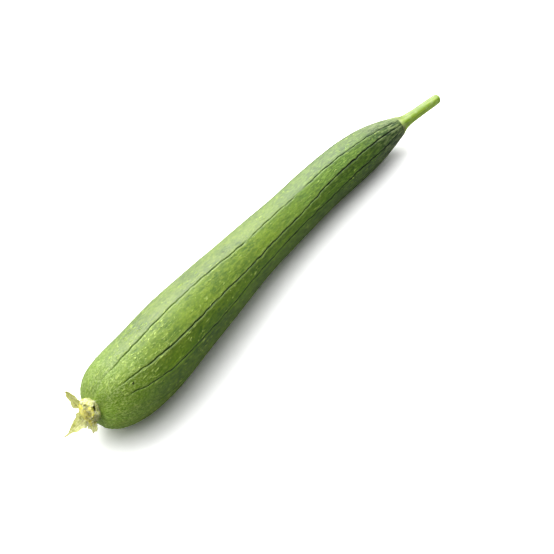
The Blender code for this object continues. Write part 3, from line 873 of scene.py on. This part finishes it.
def blade(name, line, shape, width, thickness, cupping, wave, phase, rows):
    """A mesh of a thin leaf along a line of points, from its root to its tip."""
    knots = np.linspace(0, 1, len(line))
    share = np.linspace(0, 1, rows)
    here, ahead, behind = (smooth(knots, line, np.clip(share + step, 0, 1)) for step in (0, 0.02, -0.02))
    forward = unit(ahead - behind)
    around = stacked(-here[:, 1], here[:, 0], 0)
    aside = unit(around - forward * np.sum(forward * around, axis=-1, keepdims=True))
    upward = np.cross(forward, aside)
    turn = np.linspace(0, tau, BLADE_COLUMNS, endpoint=False)[None]
    side, face, share = np.cos(turn), np.sin(turn), share[:, None]
    right = side > 0
    half = width / 2 * smooth(*shape, share)
    torn = 1 + 0.06 * np.sin(tau * 5 * share + phase + 2 * right)
    torn = torn + 0.03 * np.sin(tau * 13 * share - phase + right)
    ripple = wave * np.sin(tau * 2.6 * share + phase + pi / 2 * right)
    ripple = ripple * np.abs(side) ** 1.5 * np.minimum(1, 4 * share)
    veins = sum(np.exp(-(((side - vein * (1 - 0.6 * share)) / VEIN_WIDTH) ** 2)) for vein in VEINS)
    thick = thickness / 2 * (1 + VEIN_HEIGHT * veins) * np.minimum(1, 6 * (1 - share) + 0.3) * face
    lift = cupping * half * side * side + ripple * half / (width / 2) + thick
    rings = here[:, None] + aside[:, None] * (half * side * torn)[..., None]
    rings = flower_middle + (rings + upward[:, None] * lift[..., None]) @ flower_axes
    return tube(name, rings, rings[0].mean(0), rings[-1].mean(0), {"leaf_place": stacked(side, share, 0)})

def join(name, parts):
    """One object from several closed meshes."""
    pieces = [show(f"{name}_{number}", mesh) for number, mesh in enumerate(parts)]
    bpy.ops.object.select_all(action="DESELECT")
    for piece in pieces:
        piece.select_set(True)
    bpy.context.view_layer.objects.active = pieces[0]
    bpy.ops.object.join()
    pieces[0].name = name
    return pieces[0]

print("the middle of the flower's foot in mm:", np.round(flower_middle / MM, 1))

# %% [markdown]
# ## Sepals and cup
# The flower stood in a short cup with five pointed sepals, which dry to straw and olive brown. Each sepal
# starts inside the rim of the cup, bulges outwards and ends in a thin curled point. No two curl alike, so
# each has a row of numbers of its own. The cup is a small ribbed tube with a hollow top.

# %% Sepals and cup
CUP_RADIUS, CUP_HEIGHT = 8.8 * MM, 3.4 * MM
CUP_WALL, CUP_FLOOR = 1.6 * MM, 1.4 * MM
CUP_SIDE = np.array([  # distance out, height
    (7.6, 0), (7.8, 1), (8.5, 2.6), (8.8, 3.0), (8.0, 3.4), (7.2, 2.8), (6.8, 1.8), (5.8, 1.4), (3.0, 1.3),
]) * MM
ROOT_RADIUS, ROOT_HEIGHT = CUP_RADIUS - CUP_WALL / 2, 2.2 * MM
# Which way a sepal grows and points, in degrees. Then in mm: its tip's place out and forward, its
# bulge's place out and forward, its width, and how far its thin point goes on from the tip.
SEPALS = (
    (80, 62, 18.2, 8.8, 13.2, 6.8, 11.0, 0.6, 2.6),
    (164, 166, 16.5, 14.0, 13.2, 7.2, 11.6, 3.2, 7.0),
    (218, 216, 14.4, 6.0, 12.6, 5.2, 12.4, 0.8, 1.0),
    (284, 294, 8.6, 9.0, 9.2, 5.8, 8.4, -1.6, 1.2),
    (6, -8, 7.8, 9.2, 8.9, 6.0, 9.6, -1.8, 1.2),
)
SEPAL_SHAPE = ((0, 0.12, 0.35, 0.6, 0.8, 1), (0.75, 0.92, 1, 0.72, 0.24, 0.05))  # shares of its way and width
SEPAL_THICKNESS, SEPAL_CUPPING, SEPAL_WAVE, SEPAL_ROWS = 0.5 * MM, 0.25, 0.9 * MM, 70

sepal_meshes = []
for grows, points, *sizes in SEPALS:
    out, forward, bulge_out, bulge_forward, width, point_out, point_forward = np.array(sizes) * MM
    root, tip = radians(grows), radians(points)
    line = np.array([
        polar(root, ROOT_RADIUS, ROOT_HEIGHT),
        polar(root, ROOT_RADIUS + 1.2 * MM, CUP_HEIGHT + 1.5 * MM),
        polar((root + tip) / 2, bulge_out, bulge_forward),
        polar(tip, out, forward),
        polar(tip, out + point_out, forward + point_forward),
    ])
    phase = random.uniform(0, tau)
    sepal_meshes.append(blade(
        "sepal", line, SEPAL_SHAPE, width, SEPAL_THICKNESS, SEPAL_CUPPING, SEPAL_WAVE, phase, SEPAL_ROWS,
    ))

cup_out, cup_height = outline(CUP_SIDE, np.linspace(0, 1, 40)).T[..., None]
cup_share = cup_height / CUP_HEIGHT
angle = np.linspace(0, tau, 96, endpoint=False)[None]
ribbed = cup_out * (1 + 0.02 * np.cos(10 * angle)) + 0.25 * MM * np.sin(23 * angle) * cup_share
waved = cup_height + 0.5 * MM * np.sin(5 * angle + 1) * cup_share ** 2
rings = flower_middle + polar(angle, ribbed, waved) @ flower_axes
cup_floor = flower_middle + polar(0, 0, CUP_FLOOR) @ flower_axes
cup_leaf = stacked(np.cos(3 * angle), 0.2 * cup_share, 0)
cup_mesh = tube("cup", rings, flower_middle, cup_floor, {"leaf_place": cup_leaf})
calyx = join("calyx_fine", [cup_mesh, *sepal_meshes])
print("calyx:", len(calyx.data.polygons), "faces")

# %% [markdown]
# ## Petals
# The yellow petals closed, twisted and dried on the fruit. They are the same kind of blade, folded round a
# small core that stands for what is left inside the flower. All of it leans to one side, up against the arch
# of its top sepal.

# %% Petals and core
CORE_FOOT, CORE_RADIUS, CORE_HEIGHT = 2.0 * MM, 7.0 * MM, 8.6 * MM
LEAN_WAY, LEAN_SHARE = radians(335), 0.3
LEAN = polar(LEAN_WAY, LEAN_SHARE, 0)
PETALS = 5
PETAL_SHAPE = ((0, 0.3, 0.6, 1), (0.4, 0.85, 1, 0.5))  # shares of its way and width
PETAL_WIDTH, PETAL_THICKNESS, PETAL_CUPPING = 7.6 * MM, 0.4 * MM, 0.22
PETAL_WAVE, PETAL_ROWS = 0.7 * MM, 60

def leaned(points):
    """Points of the flower, moved the way it leans by a share of their height."""
    return points + LEAN * points[..., 2:]

petal_meshes = []
for number in range(PETALS):
    start = tau * number / PETALS + random.uniform(-0.2, 0.2)
    twist = random.uniform(0.5, 1.0)
    top = random.uniform(6.5, 8.5) * MM
    end_out = random.uniform(2.4, 4.4) * MM
    line = leaned(np.array([
        polar(start, 3.0 * MM, CORE_FOOT + 0.9 * MM),
        polar(start + 0.35 * twist, 6.4 * MM, CORE_FOOT + 3.0 * MM),
        polar(start + 0.8 * twist, 7.2 * MM, CORE_FOOT + 5.2 * MM),
        polar(start + 1.3 * twist, end_out, CORE_FOOT + top),
    ]))
    phase = random.uniform(0, tau)
    petal_meshes.append(blade(
        "petal", line, PETAL_SHAPE, PETAL_WIDTH, PETAL_THICKNESS, PETAL_CUPPING,
        PETAL_WAVE, phase, PETAL_ROWS,
    ))

slope = np.linspace(0.02, 0.98, 40)[:, None] * pi
angle = np.linspace(0, tau, 48, endpoint=False)[None]
out = CORE_RADIUS * np.sin(slope) * (1 + 0.08 * np.sin(3 * angle + 4 * slope))
local = leaned(polar(angle, out, CORE_FOOT + CORE_HEIGHT * (1 + np.cos(slope)) / 2))
core_top, core_foot = (
    flower_middle + leaned(polar(0, 0, CORE_FOOT + height)) @ flower_axes for height in (CORE_HEIGHT, 0)
)
core_leaf = stacked(np.cos(angle), slope / pi, 0)
core_mesh = tube("core", flower_middle + local @ flower_axes, core_top, core_foot, {"leaf_place": core_leaf})
corolla = join("corolla_fine", [core_mesh, *petal_meshes])
print("corolla:", len(corolla.data.polygons), "faces")

# %% [markdown]
# ## Crumpling
# A petal that dries shrinks unevenly, and so it folds and creases. A tree can do that to any mesh: noise
# moves each point. The petals get more of it than the sepals, by the same inputs.

# %% Geometry tree that crumples
crumple = new_tree("crumple", {
    "Geometry": "Geometry",
    "Fold depth": 0.8 * MM,
    "Fold size": 260.0,
    "Crease depth": 0.3 * MM,
    "Crease size": 900.0,
})
given = add(crumple, "NodeGroupInput").outputs
at = position(crumple)
fold, crease = (
    push(crumple, at, given[f"{kind} size"], 1.0, given[f"{kind} depth"]) for kind in ("Fold", "Crease")
)
folded = vectors(crumple, "ADD", fold, crease)
moved = add(crumple, "GeometryNodeSetPosition", {"Geometry": given["Geometry"], "Offset": folded}).outputs[0]
add(crumple, "NodeGroupOutput", {"Geometry": moved})
run_tree(corolla, crumple, **{"Fold depth": 2.0 * MM, "Crease depth": 0.6 * MM})
run_tree(calyx, crumple, **{"Fold depth": 1.4 * MM, "Crease depth": 0.3 * MM})
print("corolla box in mm:", [round(value / MM, 1) for value in corolla.dimensions])

# %% [markdown]
# ## Dried colours
# Dry plant matter is pale where it is thin and brown where it died first: along edges, at tips and in
# creases. Both dried materials read how far across and along its leaf each point is, and one function makes
# them from their three colours. They let some light through, as dry petals do.

# %% Dried materials
def dried(name, pale, middling, brown, edge_brown):
    """A dried leaf's material, from three colours and how brown its edges are."""
    made, tree, shader = new_material(name, {
        "Roughness": 0.72,
        "Subsurface Weight": 0.6,
        "Subsurface Radius": (1, 0.95, 0.5),
        "Subsurface Scale": 1.5 * MM,
    })
    leaf = split(tree, kept(tree, "leaf_place", "Vector"))
    at = object_place(tree)
    fibres, fibre_height = grained(tree, at, 700.0, 1.0)
    blotches = noise(tree, at, 330.0, 3.0, 0.6)
    edge = total(tree, maths(tree, "ABSOLUTE", leaf[0]), product(tree, blotches, 0.5))
    tip = total(tree, leaf[1], product(tree, blotches, 0.3))
    across = maths(tree, "ABSOLUTE", maths(tree, "DIVIDE", leaf[0], sloped(tree, leaf[1], 1.0, -0.6)))
    midrib = eased(tree, across, 0.16, 0.04)
    side_ribs = eased(tree, maths(tree, "ABSOLUTE", maths(tree, "SUBTRACT", across, 0.55)), 0.12, 0.03)
    base = painted(
        tree, tint(tree, fibres, pale, middling),
        (product(tree, eased(tree, edge, 1.0, 1.35), edge_brown), brown),
        (product(tree, maths(tree, "MAXIMUM", midrib, side_ribs), 0.35), brown),
        (eased(tree, tip, 0.85, 1.15, 0, 0.6), brown),
        (eased(tree, blotches, 0.6, 0.72, 0, 0.55), brown),
    )
    surface(tree, shader, base, fibre_height, 0.5)
    return made

olive = dried("dried_sepal_olive", "E8EAAC", "C6CC78", "7A682E", 0.35)
straw = dried("dried_petal_straw", "F4F094", "E0DA52", "A08A1C", 0.25)
for piece, made, node, slot in (
    (calyx, olive, "calyx", "dried_sepal"), (corolla, straw, "withered_corolla", "dried_petal"),
):
    piece.data.materials.clear()
    piece.data.materials.append(made)
    piece.data.shade_smooth()
    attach(piece, "root")
    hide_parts(node)
print("materials:", [item.name for item in bpy.data.materials])

# %% [markdown]
# The finished pieces fill the imported model's box to within half a millimetre. Both boxes are printed.

# %% Print the two boxes and finish
seen_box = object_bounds()
boxes = {name: [list(corner) for corner in box] for name, box in (("cad", cad_box), ("seen", seen_box))}
for name, box in boxes.items():
    print(name, "box in mm:", [[round(value / MM, 2) for value in corner] for corner in box])
